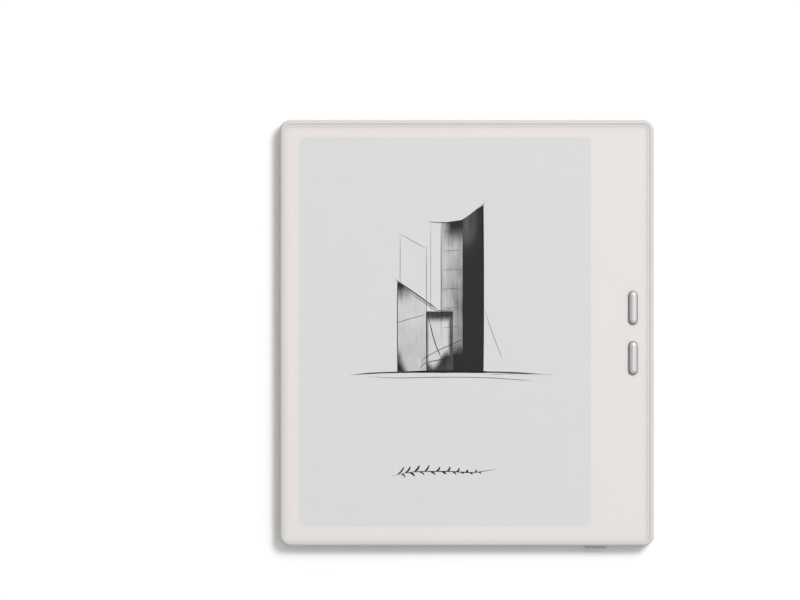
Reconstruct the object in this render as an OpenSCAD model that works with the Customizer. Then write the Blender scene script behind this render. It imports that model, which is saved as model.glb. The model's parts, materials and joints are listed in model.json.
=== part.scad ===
// E-reader with a 7-inch paper-like screen, an offset grip and two page keys.
// Frame: the rear face lies on z = 0, +Z points out of the screen,
// +X points to the grip side and +Y to the top of the page.

/* [Body] */
// Width across the screen and the grip
body_w = 137; // [136:0.5:140]
// Height along the page
body_h = 156; // [155:0.5:160]
// Thickness from the rear skin to the front rim
body_t = 6.4; // [6.4:0.1:7]
// Radius of the outer corners
corner_r = 4; // [3.5:0.25:5]
// Width of the rim that shows around both faces
rim_w = 1.75; // [1.6:0.05:1.9]
// Gap between the rim and the panels that it holds
rim_gap = 0.15; // [0.1:0.05:0.2]
// Thickness of the frame wall, rim and ledges together
wall_w = 3.3; // [3.2:0.05:3.4]
// Rounding of the outer edge next to the screen
front_edge_r = 1; // [0.6:0.1:1.2]
// Rounding of the outer edge next to the rear skin
rear_edge_r = 1.0; // [1:0.1:1.7]
// Rounding of the rim's inner edges
inner_edge_r = 0.2; // [0.1:0.05:0.3]

/* [Screen] */
// Width of the clear window
window_w = 106.9; // [106:0.1:107]
// Height of the clear window
window_h = 142.4; // [141:0.1:142.5]
// Border between the outer edge and the window, on the side away from the grip
window_left = 6.95; // [6.8:0.05:7]
// Border below the window
window_bottom = 7.05; // [6.9:0.05:7.2]
// Radius of the window corners
window_r = 2; // [0.5:0.1:2.5]
// Thickness of the cover lens
lens_t = 0.7; // [0.6:0.05:0.7]

/* [Page keys] */
// Distance of the keys from the grip edge
key_inset = 7.75; // [7.5:0.05:8]
// Distance between the two keys
key_pitch = 18.4; // [17:0.1:20]
// Length of a key's cap
key_l = 11.9; // [10:0.1:12]
// Width of a key's cap
key_w = 2.9; // [2.8:0.1:3.2]
// Gap around a cap
key_gap = 0.2; // [0.15:0.05:0.3]
// Height of a cap above the lens
key_proud = 0.6; // [0.4:0.05:0.7]

/* [Power button] */
// Distance of the power button from the grip edge
power_inset = 21.3; // [20.5:0.1:22]
// Length of the power button
power_l = 8.2; // [7:0.2:9]
// Height of the power button
power_w = 2.2; // [1.8:0.1:2.4]
// How far the power button stands out of the edge
power_proud = 0.8; // [0.4:0.1:1]

/* [Rear] */
// Distance of the seam in the rear skin from the grip edge
seam_inset = 24.9; // [24:0.1:26]
// Width of the seam
seam_w = 0.8; // [0.6:0.1:1]
// Thickness of the leather-grained skin
skin_t = 0.45; // [0.4:0.05:0.5]
// Thickness of the rear cover panel
cover_t = 0.8; // [0.7:0.05:0.85]

/* [Grip edge openings] */
// Place of the USB-C port along the edge
usb_y = -34; // [-36:0.5:-32]
// Place of the memory card tray along the edge
tray_y = 36; // [35.5:0.25:36.5]
// Place of the speakers above and below mid-height
speaker_y = 58.5; // [58:0.5:59]
// Place of the microphone hole along the edge
mic_y = -20; // [-22:0.5:-18]

/* [Hidden] */

arc_fn = 64;
hole_fn = 32;
slack = 0.02;            // clearance of parts that are screwed or stacked together
through = 1;             // how far a cutting solid passes beyond what it cuts
bite = 0.1;              // how far the solids of one piece reach into each other
wire_fn = 24;

half_w = body_w / 2;
half_h = body_h / 2;
panel_inset = rim_w + rim_gap;
panel_r = max(corner_r - panel_inset, 0.5);
inner_x = half_w - wall_w;           // inner faces of the frame wall
inner_y = half_h - wall_w;

// Levels, from the rear skin up
rim_rear_z = 0.1;
cover_z = skin_t;
cavity_z = cover_z + cover_t;
board_z = cavity_z + 0.65;
board_t = 0.7;
board_top = board_z + board_t;
port_z = 3.2;

// Levels, from the lens down
lens_top = body_t - 0.08;
lens_z = lens_top - lens_t;
mask_z = lens_z - 0.06;
ledge_z = mask_z - 0.06;
touch_z = mask_z - 0.14;
guide_z = touch_z - 0.4;
film_z = guide_z - 0.2;
backplane_z = film_z - 0.4;
plate_top = backplane_z - 0.1;
plate_z = plate_top - 0.4;
flex_t = 0.1;
under_flex_z = plate_z - 0.16;       // flexes that run below the plate

// Screen window and the layers behind it
window_x = [-half_w + window_left, -half_w + window_left + window_w];
window_y = [-half_h + window_bottom, -half_h + window_bottom + window_h];
display_x = [window_x[0] - 1.95, window_x[1] + 1.35];
display_y = [-inner_y + 0.5, window_y[1] + 1.75];
ledge_y = window_y[0] - 1.25;        // where the film stops and the driver ledge begins

// Flexes that turn around the lower edge of the screen
wrap_y = -inner_y + 0.25;
display_flex_x = [18, 34];
light_flex_x = [36, 39.6];
flex_end_y = -39;

// Page keys
key_x = half_w - key_inset;
key_dome_h = 0.42;
key_flange_z = plate_top + flex_t + key_dome_h + 0.12;
key_flange_t = 0.5;
key_flange_w = key_w + 1.9;
key_flange_l = key_l + 1.9;
key_pocket_gap = 0.2;
key_flex_half_l = 17.2;
key_tail_x = 52;                     // where the key flex turns down to the board
key_tail_y = [-1.6, 1.6];

// Power button
power_x = half_w - power_inset;
power_flange_y = -inner_y + 0.1;
power_neck_y = -inner_y - 0.4;
power_ear_w = 1.2;
power_flange_t = 0.6;
power_nub_t = 0.6;
power_plunger_r = 0.6;
power_plunger_l = 0.95;
power_switch_y = power_flange_y + power_flange_t + power_nub_t + 0.6;

// Mainboard
board_x = [14, 64];
board_y = [-44, 44];
arm_x = [40, 54];
arm_low_y = -71.6;
arm_high_y = 52;
board_screw_at = [[18, -26], [18, 18], [42, 48], [56, 22], [50, -48]];
frame_screw_at = [for (x = [-62, -10, 61], s = [-1, 1]) [x, s * (inner_y - 2.3)]];
lug_z = 2.6;
lug_r = 2;
boss_r = 1.5;
screw_head_r = 1.3;
screw_head_t = 0.5;
screw_cross = [1.5, 0.35];           // length and width of each arm of the cross recess
screw_cross_depth = 0.25;
board_screw_r = 0.7;
frame_screw_r = 0.6;
thread_slack = 0.02;

// USB-C receptacle, to the standard's outline
usb_w = 8.94;
usb_h = 3.16;
usb_inner_w = 8.34;
usb_inner_h = 2.56;
usb_x = [half_w - 8.15, half_w - 0.8];
usb_gap = 0.18;
usb_back_t = 0.5;
tongue_half_w = 3.35;
usb_room_x = usb_x[0] - 0.45;        // back of the space kept free for the shell
usb_room_y = about(usb_y, usb_w / 2 + 0.4);

// Memory card tray and its ejector
door_t = 1.5;
door_h = 2.2;
door_gap = 0.1;
door_y = [tray_y - 9.4, tray_y + 7.4];
door_face_x = half_w - 0.1;
tray_x = [50.1, door_face_x - door_t];
tray_w = 12.6;
tray_t = 0.8;
tray_bar_w = 0.8;
card_w = 11.1;
card_l = 15.1;
reader_x = [51, 64.4];
pin_y = tray_y - 7.8;
lever_x = 47.7;
lever_y = tray_y - 4.4;
lever_w = 0.8;
rod_x = [lever_x + lever_w / 2 + 0.05, half_w - 2.6];
rod_half_w = 0.5;
rod_half_t = 0.4;
rod_gap = 0.08;
pivot_r = 0.5;
pivot_head_r = 0.9;
lever_hub_r = 1;

// Battery
battery_x = [-62, 8];
battery_y = [-50, 46];
battery_z = cavity_z + 0.2;

// Speakers
speaker_l = 23;
speaker_x = [55.45, inner_x - 0.35];
speaker_t = 2.4;
speaker_z = cavity_z + 0.15;
speaker_top = speaker_z + speaker_t;
speaker_port_half_l = 9;
grille_pitch = 2.6;
grille_r = 0.55;

// The two limits of a span that reaches half to each side of its middle
function about(middle, half) = [middle - half, middle + half];

// A block between two limits on each axis
module block(x, y, z)
  translate([x[0], y[0], z[0]]) cube([x[1] - x[0], y[1] - y[0], z[1] - z[0]]);

// Outline with round corners, centred
module rounded_rect(w, h, r) {
  square([w - 2 * r, h], center = true);
  square([w, h - 2 * r], center = true);
  for (x = [-1, 1], y = [-1, 1])
    translate([x * (w / 2 - r), y * (h / 2 - r)]) circle(r, $fn = arc_fn);
}

// Outline with round ends, centred and long in x
module pill(length, width) {
  square([length - width, width], center = true);
  for (s = [-1, 1]) translate([s * (length - width) / 2, 0]) circle(width / 2, $fn = arc_fn);
}

// The same outline, long in y
module tall_pill(length, width) rotate([0, 0, 90]) pill(length, width);

// The outline of the panels that sit inside the rim, made smaller by inset
module panel_outline(inset = 0)
  rounded_rect(body_w - 2 * (panel_inset + inset), body_h - 2 * (panel_inset + inset), panel_r);

// Opens a slot through the grip edge: y along the slot, from x[0] outwards
module grip_edge_cut(x, y, z, length, height)
  translate([x[0], y, z]) rotate([90, 0, 90]) linear_extrude(x[1] - x[0]) pill(length, height);

// A solid of a given outline, standing on the grip edge's plane
module along_x(x, y, z) translate([x[0], y, z]) rotate([90, 0, 90]) linear_extrude(x[1] - x[0]) children();

// A solid of a given outline, growing from y[0] to y[1]
module along_y(x, y, z) translate([x, y[1], z]) rotate([90, 0, 0]) linear_extrude(y[1] - y[0]) children();

// ---- Case ----

// What a rounding of radius r takes off the corner at [x, y]; side gives where the material lies
module edge_round(x, y, r, side) difference() {
  translate([x - (side[0] > 0 ? through : r), y - (side[1] > 0 ? through : r)]) square(r + through);
  translate([x + side[0] * r, y + side[1] * r]) circle(r, $fn = arc_fn);
}

// Cross-section of the rim, with its outer face on the left
module rim_section() difference() {
  translate([0, rim_rear_z]) square([rim_w, body_t - rim_rear_z]);
  edge_round(0, rim_rear_z, rear_edge_r, [1, 1]);
  edge_round(0, body_t, front_edge_r, [1, -1]);
  edge_round(rim_w, rim_rear_z, inner_edge_r, [-1, 1]);
  edge_round(rim_w, body_t, inner_edge_r, [-1, -1]);
}

// One straight side of the rim and the corner that follows it
module rim_side(w, h) {
  translate([0, h / 2 - corner_r, 0]) rotate([90, 0, 0])
    linear_extrude(h - 2 * corner_r) translate([w / 2, 0]) mirror([1, 0]) rim_section();
  translate([w / 2 - corner_r, h / 2 - corner_r, 0])
    rotate_extrude(angle = 90, $fn = arc_fn) translate([corner_r, 0]) mirror([1, 0]) rim_section();
}

module rim() {
  for (turn = [0, 180]) rotate([0, 0, turn]) rim_side(body_w, body_h);
  for (turn = [90, 270]) rotate([0, 0, turn]) rim_side(body_h, body_w);
}

// Places of the rear cover's clips: point, and the turn that faces the wall
clip_at = concat(
  [for (y = [-48, 0, 48]) [-inner_x, y, 180]],
  [for (y = [-24, 0, 20]) [inner_x, y, 0]],
  [for (x = [-50, -25, 8, 50]) [x, inner_y, 90]],
  [for (x = [-50, -25, 8]) [x, -inner_y, 270]]
);
clip_l = 4;

module frame_lug(at) {
  side = sign(at[1]);
  reach = side > 0 ? [at[1], inner_y + 0.5] : [-inner_y - 0.5, at[1]];
  translate([at[0], at[1], lug_z]) cylinder(r = lug_r, h = plate_z - lug_z, $fn = arc_fn);
  block([at[0] - lug_r, at[0] + lug_r], reach, [lug_z, plate_z]);
}

module mid_frame() color("#dcd7d1") difference() {
  union() {
    rim();
    translate([0, 0, cavity_z]) linear_extrude(ledge_z - cavity_z) difference() {
      rounded_rect(body_w - 2.4, body_h - 2.4, corner_r - 1.2);
      rounded_rect(2 * inner_x, 2 * inner_y, 0.7);
    }
    for (at = frame_screw_at) frame_lug(at);
  }
  // screw holes in the lugs
  for (at = frame_screw_at) translate([at[0], at[1], lug_z - through])
    cylinder(r = frame_screw_r + 0.15, h = plate_z - lug_z + 2 * through, $fn = hole_fn);
  // notches for the rear cover's clips
  for (c = clip_at) translate([c[0], c[1], cavity_z + 1]) rotate([0, 0, c[2]])
    translate([-through, -clip_l / 2 - 0.2, 0]) cube([through + 0.3, clip_l + 0.4, 0.7]);
  // openings in the grip edge
  grip_edge_cut([inner_x - through, half_w + through], usb_y, port_z,
    usb_w + 2 * usb_gap, usb_h + 2 * usb_gap);
  grip_edge_cut([tray_x[1] - 0.1, half_w + through], (door_y[0] + door_y[1]) / 2, port_z,
    door_y[1] - door_y[0] + 2 * door_gap, door_h + 2 * door_gap);
  block([inner_x - through, tray_x[1]], [pin_y - 0.8, tray_y + tray_w / 2 + 0.3],
    [port_z - 0.6, port_z + 0.65]);
  for (side = [-1, 1], i = [-3 : 3])
    translate([inner_x - through, side * speaker_y + i * grille_pitch, port_z])
      rotate([0, 90, 0]) cylinder(r = grille_r, h = wall_w + 2 * through, $fn = hole_fn);
  translate([inner_x - through, mic_y, port_z]) rotate([0, 90, 0])
    cylinder(r = 0.5, h = wall_w + 2 * through, $fn = hole_fn);
  // opening for the power button
  along_y(power_x, [-half_h - through, -inner_y + through], port_z) pill(power_l + 0.3, power_w + 0.3);
}

module rear_cover() color("#d6d1ca") {
  translate([0, 0, cover_z]) linear_extrude(cover_t) panel_outline();
  // bead that fills the middle of the seam between the two skins
  block([half_w - seam_inset - 0.15, half_w - seam_inset + 0.15],
    [-half_h + panel_inset + 0.3, half_h - panel_inset - 0.3], [0.12, cover_z + 0.1]);
  // ribs around the battery and across the open bays
  for (y = [-53, 52.5, 64, -64]) block([-58, 8], [y, y + 0.9], [cavity_z - 0.1, 2.9]);
  block([10, 10.9], [-49, 43], [cavity_z - 0.1, 2.9]);
  for (c = clip_at) translate([c[0], c[1], 0]) rotate([0, 0, c[2]]) {
    block([-0.8, -0.1], [-clip_l / 2, clip_l / 2], [cavity_z - 0.1, cavity_z + 1.6]);
    block([-0.3, 0.2], [-clip_l / 2, clip_l / 2], [cavity_z + 1.1, cavity_z + 1.6]);
  }
}

module skin(x) linear_extrude(skin_t) intersection() {
  panel_outline();
  translate([x[0], -half_h]) square([x[1] - x[0], body_h]);
}

module rear_skin() color("#e3dfda") skin([-half_w, half_w - seam_inset - seam_w / 2]);

module grip_skin() color("#e5e1dc") skin([half_w - seam_inset + seam_w / 2, half_w]);

module mid_plate() color("#a9adb1") difference() {
  union() {
    translate([0, 0, plate_z]) linear_extrude(plate_top - plate_z)
      rounded_rect(2 * inner_x - 0.2, 2 * inner_y - 0.2, 0.6);
    for (at = board_screw_at) translate([at[0], at[1], board_top])
      cylinder(r = boss_r, h = plate_top - board_top, $fn = arc_fn);
  }
  for (at = board_screw_at) translate([at[0], at[1], board_top - through])
    cylinder(r = board_screw_r + thread_slack, h = plate_z - board_top + through, $fn = hole_fn);
  for (at = frame_screw_at) translate([at[0], at[1], plate_z - through])
    cylinder(r = frame_screw_r + thread_slack, h = 0.35 + through, $fn = hole_fn);
  // notch where the flexes turn around the lower edge
  block([display_flex_x[0] - 0.6, light_flex_x[1] + 0.6], [-inner_y, wrap_y + 0.4],
    [plate_z - through, plate_top + through]);
  // room for the USB-C shell, the touch flex and the key flex
  block([usb_room_x, inner_x], usb_room_y, [plate_z - through, plate_top + through]);
  block([display_x[1], display_x[1] + 0.7], [5.4, 16.6], [plate_z - through, plate_top + through]);
  block([51.6, 52.5], [-2.1, 2.1], [plate_z - through, plate_top + through]);
}

// ---- Screen stack ----

// Both page keys' openings, widened by gap
module key_openings(length, width)
  for (s = [-1, 1]) translate([key_x, s * key_pitch / 2]) tall_pill(length, width);

module window_outline(inset = 0)
  translate([(window_x[0] + window_x[1]) / 2, (window_y[0] + window_y[1]) / 2])
    rounded_rect(window_w - 2 * inset, window_h - 2 * inset, window_r);

module cover_lens() color("#e8e4df") translate([0, 0, lens_z]) linear_extrude(lens_t) difference() {
  panel_outline();
  key_openings(key_l + 2 * key_gap, key_w + 2 * key_gap);
}

module bezel_mask() color("#ebe6e1") translate([0, 0, mask_z]) linear_extrude(lens_z - mask_z)
  difference() {
    panel_outline(0.05);
    window_outline();
    key_openings(key_l + 2 * key_gap, key_w + 2 * key_gap);
  }

module lens_tape() color("#3b3b3b") translate([0, 0, ledge_z]) linear_extrude(mask_z - ledge_z)
  difference() {
    panel_outline(0.15);
    translate([-inner_x + 0.6, -inner_y + 0.6])
      square([display_x[1] + 0.7 + inner_x - 0.6, 2 * inner_y - 1.2]);
    key_openings(key_flange_l + 0.7, key_flange_w + 0.7);
  }

module optical_adhesive() color("#f2f2f2") translate([0, 0, mask_z]) linear_extrude(lens_z - mask_z)
  window_outline(0.02);

module touch_sensor() color("#dfe3e4")
  block([display_x[0] - 0.1, display_x[1] + 0.1], [display_y[0] + 0.8, display_y[1] + 0.4],
    [touch_z, mask_z]);

touch_tail_x = display_x[1] + 0.3;
touch_tail_y = [6, 16];
touch_bend_z = board_top + 0.7;

module touch_flex() color("#b5772a") {
  block([display_x[1] - 0.5, touch_tail_x + flex_t], touch_tail_y, [touch_z - flex_t, touch_z]);
  block([touch_tail_x, touch_tail_x + flex_t], touch_tail_y, [touch_bend_z, touch_z]);
  block([touch_tail_x, touch_tail_x + 4], touch_tail_y, [touch_bend_z, touch_bend_z + flex_t]);
}

module touch_connector() color("#e9e4d4")
  block([touch_tail_x + 0.6, touch_tail_x + 4.6], [touch_tail_y[0] - 0.5, touch_tail_y[1] + 0.5],
    [board_top, touch_bend_z]);

module light_guide() color("#eef2f2")
  block([display_x[0] + 0.3, display_x[1] - 0.7], [window_y[0] - 0.65, display_y[1] - 0.2],
    [guide_z, touch_z]);

light_strip_y = [display_y[0], window_y[0] - 0.8];
led_size = [2.8, 1];
led_pitch = 5.4;
leds_each_side = 9;

module front_light_strip() {
  color("#c9862e") {
    block([window_x[0] + 1.5, window_x[1] - 1.5], light_strip_y, [guide_z, guide_z + flex_t]);
    block(light_flex_x, [wrap_y, light_strip_y[0] + 0.2], [guide_z, guide_z + flex_t]);
    block(light_flex_x, [wrap_y, wrap_y + flex_t], [under_flex_z, guide_z + flex_t]);
    block(light_flex_x, [wrap_y, flex_end_y], [under_flex_z, under_flex_z + flex_t]);
  }
  color("#f3efdc") for (i = [-leds_each_side : leds_each_side])
    translate([(window_x[0] + window_x[1]) / 2 + i * led_pitch - led_size[0] / 2,
      light_strip_y[1] - led_size[1] - 0.05, guide_z + flex_t])
      cube([led_size[0], led_size[1], touch_z - guide_z - flex_t - slack]);
}

module light_connector() color("#e9e4d4")
  block(light_flex_x, [flex_end_y - 3, flex_end_y], [board_top, under_flex_z]);

module eink_film() color("#d9d9d9")
  block([display_x[0] + 0.3, display_x[1] - 0.4], [ledge_y, display_y[1] - 0.4], [film_z, guide_z]);

module display_backplane() color("#8f989b") block(display_x, display_y, [backplane_z, film_z]);

module display_foam() color("#2f3133")
  block([display_x[0] + 0.5, display_x[1] - 0.5], [display_y[0] + 1, display_y[1] - 0.5],
    [plate_top, backplane_z]);

module display_flex() color("#b5772a") {
  block(display_flex_x, [wrap_y, ledge_y - 0.2], [film_z, film_z + flex_t]);
  block(display_flex_x, [wrap_y, wrap_y + flex_t], [under_flex_z, film_z + flex_t]);
  block(display_flex_x, [wrap_y, flex_end_y], [under_flex_z, under_flex_z + flex_t]);
}

module display_connector() color("#e9e4d4")
  block([display_flex_x[0] + 0.8, display_flex_x[1] - 0.8], [flex_end_y - 4, flex_end_y - 0.2],
    [board_top, under_flex_z]);

// ---- Battery ----

battery_mid = [(battery_x[0] + battery_x[1]) / 2, (battery_y[0] + battery_y[1]) / 2];
battery_top = plate_z - 0.17;
pack_board_y = [battery_y[1] + 0.2, battery_y[1] + 3.8];
lead_z = 3.1;
lead_r = 0.35;
lead_pitch = 1.1;
lead_x = [4, board_x[0] + 1.2];

module battery_cell() color("#9fa3a6") translate([battery_mid[0], battery_mid[1], battery_z])
  linear_extrude(battery_top - battery_z)
    rounded_rect(battery_x[1] - battery_x[0], battery_y[1] - battery_y[0], 1.5);

module battery_tape() color("#f4f4f0") for (x = [-1, 0, 1])
  translate([battery_mid[0] + x * 21, battery_mid[1], battery_top])
    linear_extrude(plate_z - battery_top) rounded_rect(14, 82, 1);

module battery_board() color("#2c6e49")
  block([-20, lead_x[0]], pack_board_y, [battery_z + 1.2, battery_top]);

module battery_leads() for (i = [-1 : 1])
  color(["#c23b2e", "#2b2b2b", "#e8d23a"][i + 1])
    translate([lead_x[0], (pack_board_y[0] + pack_board_y[1]) / 2 + i * lead_pitch, lead_z])
      rotate([0, 90, 0]) cylinder(r = lead_r, h = lead_x[1] - lead_x[0], $fn = wire_fn);

module battery_connector() color("#f2efe6")
  block([lead_x[1], lead_x[1] + 3.5], [pack_board_y[0] - 0.4, pack_board_y[1] + 0.4],
    [board_top, lead_z + 0.6]);

// ---- Mainboard and its parts ----

module mainboard() color("#1f5b45") translate([0, 0, board_z]) linear_extrude(board_t) difference() {
  union() {
    translate([board_x[0], board_y[0]]) square([board_x[1] - board_x[0], board_y[1] - board_y[0]]);
    translate([board_x[0], 0]) square([arm_x[1] - board_x[0], arm_high_y]);
    translate([arm_x[0], arm_low_y]) square([arm_x[1] - arm_x[0], -arm_low_y]);
  }
  translate([usb_x[0] - 0.25, usb_y - usb_w / 2 - 0.25]) square([10, usb_w + 0.5]);
  for (at = board_screw_at) translate(at) circle(board_screw_r + 0.15, $fn = hole_fn);
}

// A pressed cover can over a place on the board
module shield_can(x, y, top, t = 0.15) difference() {
  block(x, y, [board_top, top]);
  block([x[0] + t, x[1] - t], [y[0] + t, y[1] - t], [board_top - through, top - t]);
}

can_top = plate_z - 0.12;

module soc_shield() color("#c4c6c8") shield_can([21, 39], [-14, 14], can_top);

module soc_chip() color("#26282b") block([23.5, 36.5], [-12, 1], [board_top, board_top + 0.95]);

module memory_chip() color("#2d2f33") block([24, 35.5], [2.6, 12.6], [board_top, board_top + 0.85]);

module radio_shield() color("#bfc1c3") shield_can([21, 33], [24, 38], can_top);

module board_components() {
  // power chip and two coils
  color("#2a2c30") block([24, 30], [-27, -21], [board_top, board_top + 0.8]);
  color("#6b5f55") for (y = [-33, -29]) block([30.5, 33.5], [y, y + 3], [board_top, board_top + 1]);
  // rows of small parts
  color("#b39a72") {
    for (i = [0 : 7]) block([41, 42], [-16 + 3 * i, -14.4 + 3 * i], [board_top, board_top + 0.5]);
    for (i = [0 : 5]) block([36 + 2.6 * i, 37 + 2.6 * i], [-34, -33.2], [board_top, board_top + 0.45]);
    for (i = [0 : 4]) block([43, 45], [-66 + 4 * i, -65 + 4 * i], [board_top, board_top + 0.6]);
  }
}

module thermal_sheet() color("#4a4c4f") block([21, 45], [-20, 44], [plate_z - 0.06, plate_z]);

module hall_sensor() color("#222427") block([59, 60.6], [19, 20.6], [board_top, board_top + 0.55]);

module microphone() color("#c9b37a")
  block([inner_x - 4, inner_x - 1.3], about(mic_y, 1.75), [board_top, board_top + 1]);

antenna_x = [14, 44];
coax_x = 30;
coax_r = 0.45;
coax_y = [arm_high_y - 2.2, inner_y - 0.3];
coax_plug_r = 1.2;

module antenna_flex() color("#b5772a")
  block(antenna_x, [inner_y - 0.25, inner_y - 0.15], [cavity_z + 0.3, plate_z - 0.2]);

module antenna_coax() color("#35373a") {
  along_y(coax_x, coax_y, port_z) circle(coax_r, $fn = wire_fn);
  translate([coax_x, coax_y[0] - 1, board_top]) cylinder(r = coax_plug_r, h = 0.95, $fn = arc_fn);
}

// ---- Grip edge: USB-C, card tray, speakers ----

module usb_c_shell() color("#b9bcc0") difference() {
  along_x(usb_x, usb_y, port_z) pill(usb_w, usb_h);
  along_x([usb_x[0] + usb_back_t, usb_x[1] + through], usb_y, port_z) pill(usb_inner_w, usb_inner_h);
}

module usb_c_tongue() color("#2a2a2c") {
  back_x = usb_x[0] + usb_back_t;
  tongue_y = about(usb_y, tongue_half_w);
  block([back_x, usb_x[1] - 0.8], tongue_y, about(port_z, 0.35));
  block([back_x, back_x + 1.2], tongue_y, about(port_z, 1));
}

module card_reader() color("#bfc2c5") difference() {
  union() {
    block(reader_x, about(tray_y, tray_w / 2 + 0.4), [board_top, plate_z - 0.06]);
    // guides of the ejector rod
    for (x = [54, 61]) block([x, x + 2], [pin_y - 1, tray_y - tray_w / 2 - 0.3], [board_top, plate_z - 0.06]);
  }
  block([reader_x[0] - through, reader_x[1] + through], about(tray_y, tray_w / 2 + 0.2),
    [board_top - through, plate_z - 0.18]);
  block([reader_x[0] - through, reader_x[1] + through],
    about(pin_y, rod_half_w + rod_gap), about(port_z, rod_half_t + rod_gap));
}

contact_x = [56, 61];
contact_w = 0.7;
contact_pitch = 1.1;
contact_t = 0.12;

module card_contacts() color("#d0ab52") for (i = [-3.5 : 3.5])
  block(contact_x, about(tray_y + i * contact_pitch, contact_w / 2), [board_top, board_top + contact_t]);

module card_tray() color("#8d9093") difference() {
  block(tray_x, about(tray_y, tray_w / 2), about(port_z, tray_t / 2));
  // pocket for the card, and the window under its contacts
  block([tray_x[0] + tray_bar_w, tray_x[0] + tray_bar_w + card_l], about(tray_y, card_w / 2),
    [port_z - 0.2, port_z + tray_t]);
  block([tray_x[0] + 2 * tray_bar_w, tray_x[0] + card_l - 1], about(tray_y, card_w / 2 - tray_bar_w),
    about(port_z, tray_t));
}

module card_tray_door() color("#d8d3cd") difference() {
  along_x([tray_x[1], door_face_x], (door_y[0] + door_y[1]) / 2, port_z) pill(door_y[1] - door_y[0], door_h);
  translate([tray_x[1] - through, pin_y, port_z]) rotate([0, 90, 0])
    cylinder(r = 0.5, h = door_t + 2 * through, $fn = hole_fn);
}

module eject_rod() color("#9a9da0") {
  block([rod_x[0] + rod_half_w, rod_x[1]], about(pin_y, rod_half_w), about(port_z, rod_half_t));
  translate([rod_x[0] + rod_half_w, pin_y, port_z - rod_half_t])
    cylinder(r = rod_half_w, h = 2 * rod_half_t, $fn = hole_fn);
}

module eject_lever() color("#a5a8ab") translate([0, 0, port_z - 0.3]) linear_extrude(0.6) difference() {
  union() {
    translate([lever_x - lever_w / 2, pin_y - 0.2]) square([lever_w, lever_y - pin_y + 4.6]);
    for (y = [pin_y - 0.2, lever_y + 4.4]) translate([lever_x, y]) circle(lever_w / 2, $fn = hole_fn);
    translate([lever_x, lever_y]) circle(lever_hub_r, $fn = hole_fn);
  }
  translate([lever_x, lever_y]) circle(pivot_r + 0.05, $fn = hole_fn);
}

module eject_pivot() color("#d2d4d6") translate([lever_x, lever_y, board_top]) {
  cylinder(r = pivot_r, h = port_z + 0.4 - board_top, $fn = hole_fn);
  cylinder(r = pivot_head_r, h = port_z - 0.36 - board_top, $fn = hole_fn);
  translate([0, 0, port_z + 0.36 - board_top]) cylinder(r = pivot_head_r, h = 0.15, $fn = hole_fn);
}

module speaker(side) difference() {
  block(speaker_x, about(side * speaker_y, speaker_l / 2), [speaker_z, speaker_top]);
  translate([(speaker_x[0] + speaker_x[1]) / 2, side * speaker_y, speaker_top - 0.3])
    linear_extrude(1) difference() {
      tall_pill(16, 7);
      tall_pill(12, 4);
    }
  block([speaker_x[1] - 0.8, speaker_x[1] + through],
    about(side * speaker_y, speaker_port_half_l), [port_z - 0.8, speaker_top - 0.25]);
}

module speaker_upper() color("#34363a") speaker(1);

module speaker_lower() color("#34363a") speaker(-1);

module speaker_meshes() color("#5b5e62") for (side = [-1, 1])
  block([inner_x - 0.27, inner_x - 0.05], about(side * speaker_y, speaker_port_half_l + 0.2),
    [port_z - 1, port_z + 0.6]);

// ---- Page keys ----

module grip_spacer() color("#c9c5bf") difference() {
  translate([0, 0, plate_top]) linear_extrude(ledge_z - plate_top) intersection() {
    rounded_rect(2 * inner_x - 0.2, 2 * inner_y - 0.4, 0.7);
    translate([display_x[1] + 0.65, -half_h]) square([half_w, body_h]);
  }
  translate([0, 0, plate_top - through]) linear_extrude(ledge_z - plate_top + 2 * through)
    key_openings(key_flange_l + 2 * key_pocket_gap, key_flange_w + 2 * key_pocket_gap);
  // channel for the key flex
  block([key_tail_x - 0.5, key_x + 3.6], about(0, key_flex_half_l + 0.4),
    [plate_top - through, plate_top + 0.2]);
  // room for the USB-C shell
  block([usb_room_x, inner_x], usb_room_y, [plate_top - through, port_z + usb_h / 2 + 0.12]);
  // hollow bays
  for (y = [[-70, -47], [22, 44], [47, 70]])
    block([50, 62.5], y, [plate_top - through, ledge_z - 0.5]);
}

// Half of a cap's cross-section: a low arch over straight sides
cap_arch_r = 1.9;
cap_top = lens_top + key_proud;

module cap_section() intersection() {
  translate([0, key_flange_z]) square([key_w / 2, cap_top - key_flange_z]);
  union() {
    translate([0, cap_top - cap_arch_r]) circle(cap_arch_r, $fn = arc_fn);
    translate([0, key_flange_z]) square([key_w / 2, cap_top - cap_arch_r - key_flange_z]);
  }
}

module page_key(side) translate([key_x, side * key_pitch / 2, 0]) {
  straight = key_l - key_w;
  for (end = [0, 1]) translate([0, (end - 0.5) * straight, 0]) rotate([0, 0, end * 180 - 180])
    rotate_extrude(angle = 180, $fn = arc_fn) cap_section();
  for (half = [0, 1]) mirror([half, 0, 0])
    translate([0, straight / 2, 0]) rotate([90, 0, 0]) linear_extrude(straight) cap_section();
  translate([0, 0, key_flange_z]) linear_extrude(key_flange_t) tall_pill(key_flange_l, key_flange_w);
  translate([0, 0, key_flange_z - 0.1]) cylinder(r = 1, h = 0.2, $fn = hole_fn);
}

module page_key_upper() color("#b4b4b5") page_key(1);

module page_key_lower() color("#b4b4b5") page_key(-1);

// A thin snap dome on the key flex
dome_base_r = 1.9;
dome_ball_r = (pow(dome_base_r, 2) + pow(key_dome_h, 2)) / (2 * key_dome_h);

module key_dome(side) translate([key_x, side * key_pitch / 2, plate_top + flex_t]) intersection() {
  cylinder(r = dome_base_r + 1, h = key_dome_h + 1, $fn = hole_fn);
  translate([0, 0, key_dome_h - dome_ball_r]) difference() {
    sphere(dome_ball_r, $fn = 96);
    sphere(dome_ball_r - 0.08, $fn = 96);
  }
}

module key_dome_upper() color("#cfd1d3") key_dome(1);

module key_dome_lower() color("#cfd1d3") key_dome(-1);

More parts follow.
